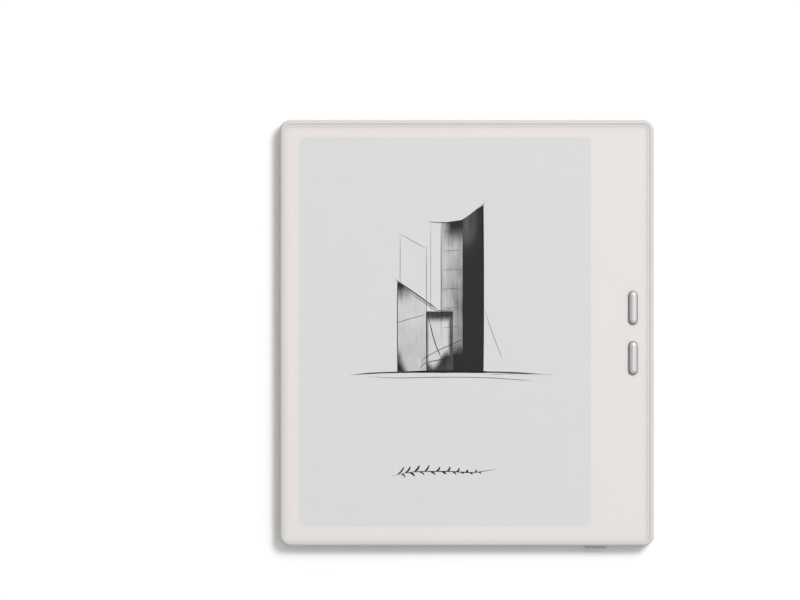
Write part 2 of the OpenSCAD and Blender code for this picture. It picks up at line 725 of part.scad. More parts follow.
module key_flex() color("#b5772a") {
  block([key_x - 3, key_x + 3.3], about(0, key_flex_half_l), [plate_top, plate_top + flex_t]);
  block([key_tail_x, key_x - 3], key_tail_y, [plate_top, plate_top + flex_t]);
  block([key_tail_x, key_tail_x + flex_t], key_tail_y, [board_top, plate_top + flex_t]);
}

// ---- Power button ----

module power_button() color("#a9a8a4") {
  along_y(power_x, [-half_h - power_proud, power_neck_y], port_z) pill(power_l, power_w);
  // a low neck passes under the mid plate and ends in ears that stop the button
  along_y(power_x, [power_neck_y - 0.1, power_flange_y + 0.1], port_z) pill(power_l - 1, power_ear_w);
  along_y(power_x, [power_flange_y, power_flange_y + power_flange_t], port_z)
    pill(power_l + 1.4, power_ear_w);
  along_y(power_x, [power_flange_y + power_flange_t - 0.1, power_flange_y + power_flange_t + power_nub_t],
    port_z) pill(2.4, power_ear_w);
}

module power_plunger() color("#2b2c2e")
  along_y(power_x, [power_flange_y + power_flange_t + power_nub_t,
    power_flange_y + power_flange_t + power_nub_t + power_plunger_l], port_z)
    circle(power_plunger_r, $fn = hole_fn);

module power_switch() color("#c8c9ca") difference() {
  block(about(power_x, 2.2), [power_switch_y, power_switch_y + 2.6], [board_top, port_z + 0.68]);
  along_y(power_x, [power_switch_y - through, power_switch_y + 0.8], port_z)
    circle(power_plunger_r + 0.04, $fn = hole_fn);
}

// ---- Fasteners and magnets ----

// A cross-head screw with its head below seat_z and its shank up to tip_z
module screw(at, seat_z, tip_z, shank_r) translate([at[0], at[1], 0]) {
  difference() {
    translate([0, 0, seat_z - screw_head_t]) cylinder(r = screw_head_r, h = screw_head_t, $fn = arc_fn);
    translate([0, 0, seat_z - screw_head_t - through]) linear_extrude(screw_cross_depth + through)
      for (turn = [0, 90]) rotate([0, 0, turn]) square(screw_cross, center = true);
  }
  translate([0, 0, seat_z - bite]) cylinder(r = shank_r, h = tip_z - seat_z + bite, $fn = hole_fn);
}

module board_screws() color("#8b8d90")
  for (at = board_screw_at) screw(at, board_z, plate_z - 0.2, board_screw_r);

module frame_screws() color("#8b8d90")
  for (at = frame_screw_at) screw(at, lug_z, plate_z + 0.2, frame_screw_r);

magnet = [2.1, 12, 2];

module cover_magnets() color("#b8babd") for (y = [-60, -36, 36, 60])
  translate([-inner_x + 0.3, y - magnet[1] / 2, cavity_z + 0.15]) cube(magnet);

mid_frame();
rear_cover();
rear_skin();
grip_skin();
mid_plate();
cover_lens();
bezel_mask();
lens_tape();
optical_adhesive();
touch_sensor();
touch_flex();
touch_connector();
light_guide();
front_light_strip();
light_connector();
eink_film();
display_backplane();
display_foam();
display_flex();
display_connector();
battery_cell();
battery_tape();
battery_board();
battery_leads();
battery_connector();
mainboard();
soc_shield();
soc_chip();
memory_chip();
radio_shield();
board_components();
thermal_sheet();
hall_sensor();
microphone();
antenna_flex();
antenna_coax();
usb_c_shell();
usb_c_tongue();
card_reader();
card_contacts();
card_tray();
card_tray_door();
eject_rod();
eject_lever();
eject_pivot();
speaker_upper();
speaker_lower();
speaker_meshes();
grip_spacer();
page_key_upper();
page_key_lower();
key_dome_upper();
key_dome_lower();
key_flex();
power_button();
power_plunger();
power_switch();
board_screws();
frame_screws();
cover_magnets();
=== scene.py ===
"""Looks for the e-reader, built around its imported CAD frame.

Lengths are in metres, in the frame's own axes: +Z out of the screen, +X towards the grip, +Y up the page.
"""
import itertools
import json
import math
import random

import bmesh
import bpy
from mathutils import Matrix, Vector, noise


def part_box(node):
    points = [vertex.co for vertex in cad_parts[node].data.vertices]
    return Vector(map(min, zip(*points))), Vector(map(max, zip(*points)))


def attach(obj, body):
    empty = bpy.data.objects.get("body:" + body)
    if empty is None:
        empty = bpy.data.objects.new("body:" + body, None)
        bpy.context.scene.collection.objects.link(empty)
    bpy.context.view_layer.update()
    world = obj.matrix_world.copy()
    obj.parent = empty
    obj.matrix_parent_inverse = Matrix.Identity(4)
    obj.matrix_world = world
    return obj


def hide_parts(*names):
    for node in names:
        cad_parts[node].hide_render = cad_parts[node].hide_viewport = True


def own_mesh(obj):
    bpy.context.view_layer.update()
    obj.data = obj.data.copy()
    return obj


MM = 0.001
NEAR = 0.001 * MM      # points closer than this are one
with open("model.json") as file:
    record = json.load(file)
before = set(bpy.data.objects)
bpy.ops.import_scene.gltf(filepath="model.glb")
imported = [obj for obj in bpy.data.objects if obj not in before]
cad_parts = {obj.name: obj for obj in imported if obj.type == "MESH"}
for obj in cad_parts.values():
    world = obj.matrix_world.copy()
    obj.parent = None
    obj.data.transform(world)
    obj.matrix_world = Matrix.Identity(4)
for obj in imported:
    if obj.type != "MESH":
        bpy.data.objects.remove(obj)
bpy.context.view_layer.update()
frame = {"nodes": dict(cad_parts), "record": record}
nodes = frame["nodes"]
scene = bpy.context.scene

# ---------------------------------------------------------------- places taken from the frame

frame_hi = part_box("mid_frame")[1]
lens_lo, lens_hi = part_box("cover_lens")
mask_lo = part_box("bezel_mask")[0]
glue_lo, glue_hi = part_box("optical_adhesive")
guide_lo, guide_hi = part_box("light_guide")
window_mid = (glue_lo + glue_hi) / 2
CORNER_R = 4 * MM                                   # outer corners of the frame
PANEL_R = CORNER_R - (frame_hi.x - lens_hi.x)       # corners of the panels inside the rim
RIM_W = 1.75 * MM                                   # from the frame's outside to the sealant beads

# ---------------------------------------------------------------- materials


class Shader:
    """One material: a Principled surface and the nodes that feed it."""

    def __init__(self, name, colour, roughness, **constants):
        self.material = bpy.data.materials.new(name)
        self.material.use_nodes = True
        self.tree = self.material.node_tree
        self.surface = self.tree.nodes["Principled BSDF"]
        self.output = self.tree.nodes["Material Output"]
        self.set("Base Color", (*colour, 1))
        self.set("Roughness", roughness)
        for socket, value in constants.items():
            self.set(socket.replace("_", " "), value)
        self.material.diffuse_color = (*colour, 1)
        self.place = self.add("ShaderNodeTexCoord").outputs["Object"]

    def set(self, socket, value):
        self.surface.inputs[socket].default_value = value

    def add(self, kind, **settings):
        """A new node; settings name its properties, or its inputs where it has no such property."""
        node = self.tree.nodes.new(kind)
        for key, value in settings.items():
            if hasattr(node, key):
                setattr(node, key, value)
            else:
                self.feed(node, key.replace("_", " "), value)
        return node

    def feed(self, node, socket, value):
        target = node.inputs[socket]
        if isinstance(value, bpy.types.NodeSocket):
            self.tree.links.new(value, target)
        else:
            target.default_value = value

    def scaled(self, x, y=None, z=None):
        """The object's own coordinates, stretched so that features repeat every 1/x, 1/y and 1/z metres."""
        size = (x, x if y is None else y, x if z is None else z)
        return self.add("ShaderNodeMapping", Vector=self.place, Scale=size).outputs["Vector"]

    def noise(self, per_metre, detail=2.0, roughness=0.5, vector=None):
        node = self.add("ShaderNodeTexNoise", Scale=per_metre, Detail=detail, Roughness=roughness)
        self.feed(node, "Vector", vector or self.place)
        return node.outputs["Fac"]

    def cells(self, per_metre, feature="F1", vector=None):
        node = self.add("ShaderNodeTexVoronoi", feature=feature, Scale=per_metre)
        self.feed(node, "Vector", vector or self.place)
        return node.outputs["Distance"]

    def math(self, operation, a, b=0.0, c=0.0):
        node = self.add("ShaderNodeMath", operation=operation)
        for i, value in enumerate((a, b, c)):
            self.feed(node, i, value)
        return node.outputs[0]

    def between(self, value, low, high, from_low=0.0, from_high=1.0):
        """value, spread from its own range to low ... high, and held inside it."""
        node = self.add("ShaderNodeMapRange", clamp=True)
        for i, part in enumerate((value, from_low, from_high, low, high)):
            self.feed(node, i, part)
        return node.outputs[0]

    def mix(self, share, first, second):
        """A colour between two; share is a socket or a number."""
        node = self.add("ShaderNodeMix", data_type="RGBA")
        for socket, value in ((0, share), (6, first), (7, second)):
            self.feed(node, socket, (*value, 1) if isinstance(value, tuple) else value)
        return node.outputs[2]

    def colour_from(self, socket):
        self.tree.links.new(socket, self.surface.inputs["Base Color"])

    def roughness_from(self, value, low, high):
        self.tree.links.new(self.between(value, low, high), self.surface.inputs["Roughness"])

    def bump(self, height, depth, strength=1.0):
        """Relief of the given depth in metres; more than one call adds up."""
        node = self.add("ShaderNodeBump", Strength=strength, Distance=depth, Height=height)
        normal = self.surface.inputs["Normal"]
        if normal.is_linked:
            self.tree.links.new(normal.links[0].from_socket, node.inputs["Normal"])
        self.tree.links.new(node.outputs["Normal"], normal)


def shade(colour, factor):
    return tuple(min(1.0, c * factor) for c in colour)


def moulded_plastic(name, colour, roughness=0.45, grain=2600, depth=0.006 * MM, **constants):
    """Spark-eroded satin plastic: faint cloudy tone, fine even grain."""
    s = Shader(name, colour, roughness, **constants)
    cloud = s.noise(45, detail=3)
    s.colour_from(s.mix(cloud, shade(colour, 0.975), shade(colour, 1.02)))
    fine = s.noise(grain, detail=3)
    s.roughness_from(s.noise(400, detail=2), roughness - 0.05, roughness + 0.05)
    s.bump(fine, depth)
    return s.material


def satin_metal(name, colour, roughness=0.32, grain=5200, depth=0.003 * MM, brushed=False, **constants):
    """Bead-blasted or rolled metal, with a faint drift in tone and gloss."""
    s = Shader(name, colour, roughness, Metallic=1.0, **constants)
    where = s.scaled(1, 12, 1) if brushed else s.place
    grit = s.noise(grain / 4 if brushed else grain, detail=2, vector=where)
    s.colour_from(s.mix(s.noise(120), shade(colour, 0.94), shade(colour, 1.05)))
    s.roughness_from(grit, roughness - 0.06, roughness + 0.08)
    s.bump(grit, depth)
    return s.material


def silver_coat(name, colour):
    """Satin metallic paint: part metal, part pigment, with a fine flake."""
    s = Shader(name, colour, 0.5, Metallic=0.4, Specular_IOR_Level=0.5)
    flake = s.cells(9000)
    s.colour_from(s.mix(flake, shade(colour, 0.9), shade(colour, 1.08)))
    s.roughness_from(s.noise(800), 0.38, 0.48)
    s.bump(s.noise(5000), 0.003 * MM)
    return s.material


def grained_skin(name, colour):
    """The rear skin's own grain is modelled. This adds the pores, painted shade in the creases and the gloss.
    """
    s = Shader(name, colour, 0.52, Specular_IOR_Level=0.42)
    wide = s.scaled(1, 1.45, 1)
    crease = s.between(s.cells(760, "DISTANCE_TO_EDGE", wide), 0, 1, 0.0, 0.32)
    pores = s.noise(2900, detail=4, roughness=0.6)
    tone = s.mix(s.noise(60, detail=3), shade(colour, 0.975), shade(colour, 1.02))
    # painted shade: the colour is darker in the creases
    s.colour_from(s.mix(crease, s.mix(0.5, tone, shade(colour, 0.86)), tone))
    s.roughness_from(pores, 0.44, 0.6)
    s.bump(crease, 0.03 * MM)
    s.bump(pores, 0.02 * MM)
    return s.material


def clear_sheet(name, tint, gloss, roughness):
    """A clear layer bonded to what is below it: light passes straight through, and a little shines back."""
    s = Shader(name, tint, roughness)
    clear = s.add("ShaderNodeBsdfTransparent", Color=(*tint, 1))
    shine = s.add("ShaderNodeBsdfGlossy", Color=(1, 1, 1, 1), Roughness=roughness)
    grazing = s.math("POWER", s.add("ShaderNodeLayerWeight", Blend=0.5).outputs["Facing"], 5.0)
    share = s.between(grazing, 0.015 * gloss, gloss)
    grit = s.add("ShaderNodeBump", Distance=0.002 * MM, Height=s.noise(6000, detail=2))
    s.tree.links.new(grit.outputs["Normal"], shine.inputs["Normal"])
    both = s.add("ShaderNodeMixShader", Fac=share)
    s.tree.links.new(clear.outputs[0], both.inputs[1])
    s.tree.links.new(shine.outputs[0], both.inputs[2])
    s.tree.links.new(both.outputs[0], s.output.inputs["Surface"])
    s.tree.nodes.remove(s.surface)
    return s.material


def paper_screen(name, colour):
    """The electrophoretic film: flat light grey, with the faint speckle of its capsules."""
    s = Shader(name, colour, 0.75, Specular_IOR_Level=0.25)
    speck = s.noise(9000, detail=2, roughness=0.7)
    s.colour_from(s.mix(speck, shade(colour, 0.975), shade(colour, 1.022)))
    s.bump(speck, 0.002 * MM)
    return s.material


def printed_border(name, colour):
    """Warm white ink on the back of the lens, a touch thinner in places."""
    s = Shader(name, colour, 0.55, Specular_IOR_Level=0.35)
    s.colour_from(s.mix(s.noise(30, detail=2), shade(colour, 0.99), shade(colour, 1.008)))
    s.bump(s.noise(4000), 0.001 * MM)
    return s.material


def circuit_board(name, colour):
    """Green solder mask over copper runs, with small tinned pads."""
    s = Shader(name, colour, 0.34, Coat_Weight=0.4, Coat_Roughness=0.2)
    runs = s.add("ShaderNodeTexBrick", Color1=(1, 1, 1, 1), Color2=(0.75, 0.75, 0.75, 1), Mortar=(0, 0, 0, 1))
    for socket, value in (("Scale", 1.0), ("Mortar Size", 0.2 * MM), ("Brick Width", 2.3 * MM),
                          ("Row Height", 0.9 * MM)):
        s.feed(runs, socket, value)
    s.feed(runs, "Vector", s.place)
    copper = s.mix(runs.outputs["Color"], shade(colour, 1.7), colour)
    pads = s.between(s.cells(900), 1, 0, 0.16, 0.2)
    s.colour_from(s.mix(pads, copper, (0.62, 0.6, 0.52)))
    s.bump(runs.outputs["Fac"], 0.02 * MM)
    return s.material


def film_flex(name, colour):
    """Amber polyimide with copper tracks showing through."""
    s = Shader(name, colour, 0.3, Coat_Weight=0.3, Coat_Roughness=0.15)
    bands = s.add("ShaderNodeTexWave", bands_direction="X", Scale=380.0, Distortion=0.4)
    s.feed(bands, "Vector", s.place)
    tracks = s.between(bands.outputs["Fac"], 0, 1, 0.45, 0.55)
    s.colour_from(s.mix(tracks, shade(colour, 0.7), shade(colour, 1.15)))
    s.bump(tracks, 0.01 * MM)
    return s.material


def foil_pouch(name, colour):
    """Laminated cell foil: dull silver with soft dents, and painted shade in their hollows."""
    s = Shader(name, colour, 0.42, Metallic=0.85)
    dents = s.noise(90, detail=2)
    # painted shade: the colour is darker where the dents are deeper
    s.colour_from(s.mix(dents, shade(colour, 0.93), shade(colour, 1.05)))
    s.roughness_from(s.noise(700), 0.36, 0.5)
    s.bump(dents, 0.2 * MM, 0.3)
    return s.material


def foam_tape(name, colour):
    s = Shader(name, colour, 0.9, Specular_IOR_Level=0.2)
    cells = s.cells(2600)
    # painted shade: the colour is darker in the pits of the cells
    s.colour_from(s.mix(cells, shade(colour, 0.8), shade(colour, 1.3)))
    s.bump(cells, 0.04 * MM)
    return s.material


def wire_covers(name, colours, centre, pitch):
    """Three insulated wires side by side, told apart by their place across the lead."""
    s = Shader(name, colours[1], 0.4, Specular_IOR_Level=0.5)
    y = s.add("ShaderNodeSeparateXYZ", Vector=s.place).outputs["Y"]
    low = s.math("GREATER_THAN", y, centre - pitch / 2)
    high = s.math("GREATER_THAN", y, centre + pitch / 2)
    s.colour_from(s.mix(high, s.mix(low, colours[0], colours[1]), colours[2]))
    s.bump(s.noise(2500), 0.005 * MM)
    return s.material


lead_lo, lead_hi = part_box("battery_leads")
SHELL = (0.555, 0.536, 0.515)
PAPER = (0.625, 0.625, 0.625)
MATERIALS = {
    "frame_plastic": moulded_plastic("frame_plastic", SHELL, 0.55, Specular_IOR_Level=0.3),
    "cover_plastic": moulded_plastic("cover_plastic", (0.7, 0.672, 0.64), 0.5),
    "grained_skin": grained_skin("grained_skin", (0.66, 0.637, 0.606)),
    "lens_glass": clear_sheet("lens_glass", (0.995, 0.995, 0.995), 0.5, 0.3),
    "border_print": printed_border("border_print", (0.665, 0.632, 0.612)),
    "clear_film": clear_sheet("clear_film", (0.998, 0.998, 0.998), 0.05, 0.1),
    "paper_screen": paper_screen("paper_screen", PAPER),
    "panel_glass": moulded_plastic("panel_glass", (0.2, 0.22, 0.23), 0.15, depth=0.001 * MM),
    "key_metal": silver_coat("key_metal", (0.54, 0.54, 0.545)),
    "plate_metal": satin_metal("plate_metal", (0.6, 0.62, 0.63), 0.38, brushed=True),
    "steel": satin_metal("steel", (0.62, 0.63, 0.64), 0.28, brushed=True),
    "nickel": satin_metal("nickel", (0.68, 0.67, 0.65), 0.2),
    "contact_gold": satin_metal("contact_gold", (0.83, 0.62, 0.27), 0.22),
    "board_green": circuit_board("board_green", (0.03, 0.16, 0.1)),
    "chip_black": moulded_plastic("chip_black", (0.035, 0.035, 0.038), 0.5),
    "flex_amber": film_flex("flex_amber", (0.5, 0.24, 0.05)),
    "ivory_plastic": moulded_plastic("ivory_plastic", (0.74, 0.69, 0.58), 0.4),
    "black_plastic": moulded_plastic("black_plastic", (0.025, 0.025, 0.027), 0.42),
    "cell_foil": foil_pouch("cell_foil", (0.55, 0.57, 0.58)),
    "dark_tape": foam_tape("dark_tape", (0.03, 0.03, 0.032)),
    "white_tape": moulded_plastic("white_tape", (0.84, 0.84, 0.8), 0.55),
    "wire_cover": wire_covers("wire_cover", [(0.45, 0.04, 0.03), (0.02, 0.02, 0.02), (0.7, 0.55, 0.05)],
                              (lead_lo.y + lead_hi.y) / 2, 1.1 * MM),
}

# painted shade: the power button's metal is darker than the keys', standing in for the body's shade over the
# lower edge
SHADED_BUTTON_METAL = satin_metal("button_metal_painted_shade", (0.42, 0.41, 0.39), 0.4)


def even_shading(obj):
    """Keeps flat faces flat next to rounded edges."""
    modifier = obj.modifiers.new("even_shading", "WEIGHTED_NORMAL")
    modifier.mode = "FACE_AREA_WITH_ANGLE"
    modifier.weight = 50
    modifier.keep_sharp = True


# light reaches the film under the border's edge through the layers that are bonded to it
nodes["bezel_mask"].visible_shadow = False
nodes["bezel_mask"].visible_diffuse = False

slot_of = {row["node"]: row["material_slot"] for row in frame["record"]["subparts"]}
for name, node in nodes.items():
    node.data.materials.clear()
    node.data.materials.append(MATERIALS[slot_of[name]])
    node.data.shade_smooth()
    node.data.set_sharp_from_angle(angle=math.radians(32))
    even_shading(node)

# ---------------------------------------------------------------- mesh helpers


def piece(name, mesh, slot, body="chassis", replaces=(), material=None):
    """A finished mesh as a piece of the object."""
    mesh.name = name
    obj = bpy.data.objects.new(name, mesh)
    scene.collection.objects.link(obj)
    mesh.materials.clear()
    mesh.materials.append(material or MATERIALS[slot])
    even_shading(obj)
    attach(obj, body)
    if replaces:
        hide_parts(*replaces)
    return obj


def mesh_of(bm, matrix=None):
    if matrix:
        bm.transform(matrix)
    bmesh.ops.recalc_face_normals(bm, faces=bm.faces)
    mesh = bpy.data.meshes.new("mesh")
    bm.to_mesh(mesh)
    bm.free()
    mesh.shade_smooth()
    mesh.set_sharp_from_angle(angle=math.radians(40))
    return mesh


def joined(*meshes):
    """Several meshes as one."""
    bm = bmesh.new()
    for mesh in meshes:
        bm.from_mesh(mesh)
    return mesh_of(bm)


def facing(x_to, y_to, z_to):
    """Turns a shape so that its own axes point along the given ones."""
    return Matrix((x_to, y_to, z_to)).transposed().to_4x4()


X, Y, Z = Vector((1, 0, 0)), Vector((0, 1, 0)), Vector((0, 0, 1))


def rounded_rect(w, h, r, centre=(0, 0), steps=12):
    """The outline's points, anticlockwise."""
    points = []
    for quarter, (sx, sy) in enumerate(((1, 1), (-1, 1), (-1, -1), (1, -1))):
        for i in range(steps + 1):
            a = math.radians(90 * (quarter + i / steps))
            points.append((centre[0] + sx * (w / 2 - r) + r * math.cos(a),
                           centre[1] + sy * (h / 2 - r) + r * math.sin(a)))
    return points


def pill(length, width, centre=(0, 0), upright=False, steps=16):
    points = rounded_rect(length, width, width / 2 - NEAR, steps=steps)
    if upright:
        points = [(-y, x) for x, y in points]
    return [(x + centre[0], y + centre[1]) for x, y in points]


def circle(r, centre=(0, 0), steps=32):
    turns = (2 * math.pi * i / steps for i in range(steps))
    return [(centre[0] + r * math.cos(a), centre[1] + r * math.sin(a)) for a in turns]


def slab(outlines, low, high, bevel, segments=3, matrix=None):
    """A sheet between two heights, cut along closed outlines, the inner ones as holes, with rounded edges."""
    curve = bpy.data.curves.new("outline", "CURVE")
    curve.dimensions = "2D"
    curve.fill_mode = "BOTH"
    for outline in outlines:
        spline = curve.splines.new("POLY")
        spline.points.add(len(outline) - 1)
        for point, (x, y) in zip(spline.points, outline):
            point.co = (x, y, 0, 1)
        spline.use_cyclic_u = True
    curve.bevel_depth = bevel
    curve.bevel_resolution = segments
    curve.offset = -bevel
    curve.extrude = (high - low) / 2 - bevel
    obj = bpy.data.objects.new("outline", curve)
    scene.collection.objects.link(obj)
    mesh = bpy.data.meshes.new_from_object(obj.evaluated_get(bpy.context.evaluated_depsgraph_get()))
    bpy.data.objects.remove(obj)
    bm = bmesh.new()
    bm.from_mesh(mesh)
    bmesh.ops.remove_doubles(bm, verts=bm.verts, dist=NEAR)
    bmesh.ops.translate(bm, verts=bm.verts, vec=(0, 0, (low + high) / 2))
    return mesh_of(bm, matrix)


def loft(rings, matrix=None):
    """A closed solid through rings of equal length, each an outline and its height."""
    bm = bmesh.new()
    rows = [[bm.verts.new((x, y, z)) for x, y in outline] for outline, z in rings]
    for low, high in zip(rows, rows[1:]):
        for i in range(len(low)):
            bm.faces.new((low[i - 1], low[i], high[i], high[i - 1]))
    bm.faces.new(reversed(rows[0]))
    bm.faces.new(rows[-1])
    return mesh_of(bm, matrix)


def close_grid(bm, grid, z):
    """Walls from the border of a grid of vertices to a height, and the flat face that closes them."""
    border = grid[0] + [row[-1] for row in grid[1:]] + grid[-1][-2::-1] + [row[0] for row in grid[-2:0:-1]]
    foot = [bm.verts.new((v.co.x, v.co.y, z)) for v in border]
    for i in range(len(border)):
        bm.faces.new((border[i - 1], border[i], foot[i], foot[i - 1]))
    bm.faces.new(foot)


def quarter(r, steps):
    """Steps of a quarter round, as (inset, drop) from the corner that it rounds off."""
    turns = (math.pi / 2 * i / steps for i in range(steps + 1))
    return [(r * (1 - math.cos(a)), r * (1 - math.sin(a))) for a in turns]


# ---------------------------------------------------------------- front: lens and clear layers

KEY_NODES = ("page_key_upper", "page_key_lower")
KEY_GAP = 0.2 * MM
FLANGE_T, FLANGE_MARGIN = 0.5 * MM, 0.95 * MM       # the flange under each cap, and how far it stands out
key_boxes = {name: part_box(name) for name in KEY_NODES}
flange_lo, flange_hi = key_boxes["page_key_upper"]
KEY_W = flange_hi.x - flange_lo.x - 2 * FLANGE_MARGIN
KEY_L = flange_hi.y - flange_lo.y - 2 * FLANGE_MARGIN
key_at = {name: ((lo.x + hi.x) / 2, (lo.y + hi.y) / 2) for name, (lo, hi) in key_boxes.items()}
key_slots = [pill(KEY_L + 2 * KEY_GAP, KEY_W + 2 * KEY_GAP, at, upright=True) for at in key_at.values()]

LENS_LIFT = 0.01 * MM               # the sheet's underside over the border's print
LENS_EDGE_R = 0.1 * MM
FINE_EDGE = 0.01 * MM               # rounding of thin beads and seals


def inside_lens(inset):
    """The lens's outline, drawn in by inset."""
    return rounded_rect(lens_hi.x - lens_lo.x - 2 * inset, lens_hi.y - lens_lo.y - 2 * inset, PANEL_R - inset)


lens_outline = inside_lens(0)
piece("lens_sheet", slab([lens_outline, *key_slots], lens_lo.z + LENS_LIFT, lens_hi.z, LENS_EDGE_R),
      "lens_glass", replaces=["cover_lens"])

# the lens stands in a bead of sealant, and each of its key slots is lined with a black seal, which also
# darkens the gap as painted shade
BEAD_DROP = 0.02 * MM               # the bead's top under the lens's face
rim_inside = Vector((frame_hi.x - RIM_W, frame_hi.y - RIM_W))
bead_outline = rounded_rect(2 * rim_inside.x, 2 * rim_inside.y, CORNER_R - RIM_W)
piece("lens_sealant", slab([bead_outline, lens_outline], mask_lo.z, lens_hi.z - BEAD_DROP, FINE_EDGE, 1),
      "frame_plastic")

# painted light: a lit ring in the border's colour lies right under the lens's edge and casts no shadow,
# hiding the shade that the rim casts on the print below
LIT_FILL_INSET, LIT_FILL_W = 0.06 * MM, 0.45 * MM
LIT_FILL_DROPS = (0.06 * MM, 0.03 * MM)           # its two faces under the lens's face
edge_outlines = [inside_lens(inset) for inset in (LIT_FILL_INSET, LIT_FILL_INSET + LIT_FILL_W)]
edge_low, edge_high = [lens_hi.z - drop for drop in LIT_FILL_DROPS]
lit_fill_ring = piece("lens_edge_painted_light", slab(edge_outlines, edge_low, edge_high, 0.5 * FINE_EDGE, 1),
                   "border_print")
lit_fill_ring.visible_shadow = False

SEAL_W = 0.09 * MM                  # mean width of the seal
SHADE_SHIFT = 0.06 * MM              # painted shade: how much wider the seal is on the page's side and below, where the cap's shade falls, and narrower opposite
SEAL_DROP = 0.04 * MM               # its top under the lens's face
# painted shade: each seal's opening is moved towards the grip and up, so its black is wider on the page's
# side and below
for (node, at), slot_outline in zip(key_at.items(), key_slots):
    opening = KEY_GAP - SEAL_W
    shade_shifted = (at[0] + SHADE_SHIFT, at[1] + SHADE_SHIFT)
    seal = [slot_outline, pill(KEY_L + 2 * opening, KEY_W + 2 * opening, shade_shifted, upright=True)]
    piece(f"{node}_slot_seal_and_painted_shade", slab(seal, mask_lo.z, lens_hi.z - SEAL_DROP, FINE_EDGE, 1), "black_plastic")

# the touch sensor, light guide and adhesive are bonded into one clear block over the film
INK_ROOM = 0.05 * MM                # between the film and the block, where the drawing lies
CLEAR_R, CLEAR_EDGE_R = 0.3 * MM, 0.03 * MM
CLEAR_GAP = 0.005 * MM              # between the block and the border's print
guide_mid = (guide_lo + guide_hi) / 2
guide_outline = rounded_rect(guide_hi.x - guide_lo.x, guide_hi.y - guide_lo.y, CLEAR_R, guide_mid)
piece("clear_layers", slab([guide_outline], guide_lo.z + INK_ROOM, mask_lo.z - CLEAR_GAP, CLEAR_EDGE_R, 1),
      "clear_film", replaces=["light_guide", "touch_sensor", "optical_adhesive"])

# ---------------------------------------------------------------- the drawing on the page

INK_TONES = {"black": 0.004, "dark": 0.03, "mid": 0.13}
INK_LAYER = 0.008 * MM              # between the heights of two tones of pen strokes
INK_T = 0.004 * MM
ink_strokes = {tone: bmesh.new() for tone in INK_TONES}
draw = random.Random(7)
# where the drawn ground meets the towers
page_foot = Vector((window_mid.x + 6.6 * MM, window_mid.y - 14.4 * MM))


def ink(name, level):
    s = Shader(name, (level, level, level), 0.7, Specular_IOR_Level=0.2)
    streak = s.noise(900, detail=3, vector=s.scaled(1, 0.08, 1))
    s.colour_from(s.mix(streak, (level * 0.55,) * 3, (min(1, level * 1.5 + 0.004),) * 3))
    s.bump(streak, 0.001 * MM)
    return s.material


def curve_through(points):
    """A smooth line through the given points."""
    per_span = 6
    ends = [points[0] * 2 - points[1], *points, points[-1] * 2 - points[-2]]
    line = []
    for p0, p1, p2, p3 in zip(ends, ends[1:], ends[2:], ends[3:]):
        for i in range(per_span):
            t = i / per_span
            line.append(0.5 * (2 * p1 + (p2 - p0) * t + (2 * p0 - 5 * p1 + 4 * p2 - p3) * t ** 2
                               + (3 * p1 - p0 - 3 * p2 + p3) * t ** 3))
    return line + [points[-1]]


def stroke(tone, points, width, taper=0.8, wobble=0.1):
    """A pen or brush stroke, in mm from the foot of the drawing: flat, thin at its ends, and unsteady."""
    line = curve_through([Vector(p) for p in points])
    phase = draw.uniform(0, 100)
    bm = ink_strokes[tone]
    layer = guide_lo.z + INK_ROOM - INK_T - (1 + list(INK_TONES).index(tone)) * INK_LAYER
    rings = []
    for i, p in enumerate(line):
        along = (line[min(i + 1, len(line) - 1)] - line[max(i - 1, 0)]).normalized()
        across = Vector((-along.y, along.x))
        t = i / (len(line) - 1)
        half = width / 2 * (1 - taper * abs(2 * t - 1) ** 3)
        half *= 1 + 0.25 * noise.noise(Vector((phase, t * 9, 0)))
        p = p + across * wobble * noise.noise(Vector((phase, t * 4, 5)))
        sides = [page_foot + (p + across * side * half) * MM for side in (-1, 1)]
        rings.append([bm.verts.new((q.x, q.y, z)) for z in (layer, layer + INK_T) for q in sides])
    for a, b in zip(rings, rings[1:]):
        for i, j in ((0, 1), (1, 3), (3, 2), (2, 0)):
            bm.faces.new((a[i], a[j], b[j], b[i]))
    for end in (rings[0], rings[-1]):
        bm.faces.new((end[0], end[1], end[3], end[2]))


def ink_wash(name):
    """Diluted ink, brushed upright. The mesh says how dark, and the half tones are streaked."""
    s = Shader(name, PAPER, 0.72, Specular_IOR_Level=0.2)
    amount = s.add("ShaderNodeAttribute", attribute_name="ink").outputs["Fac"]
    bristles = s.noise(1500, detail=4, roughness=0.65, vector=s.scaled(1, 0.07, 1))
    blots = s.noise(160, detail=3)
    streak = s.math("ADD", s.math("MULTIPLY_ADD", bristles, 0.9, -0.45),
                    s.math("MULTIPLY_ADD", blots, 0.7, -0.35))
    room = s.math("MULTIPLY", s.math("MULTIPLY", amount, s.math("SUBTRACT", 1.0, amount)), 3.0)
    tone = s.math("ADD", amount, s.math("MULTIPLY", streak, room))
    s.colour_from(s.mix(s.between(tone, 0, 1), PAPER, (0.006, 0.006, 0.006)))
    return s.material


washes = bmesh.new()
wash_ink = washes.verts.layers.float.new("ink")
wash_tops = itertools.count(1)      # each wash lies on the ones before it
WASH_STEPS = 28
WASH_LAYER, WASH_T = 0.004 * MM, 0.003 * MM
WASH_LIFT = 0.001 * MM              # between the film and the first wash's layer


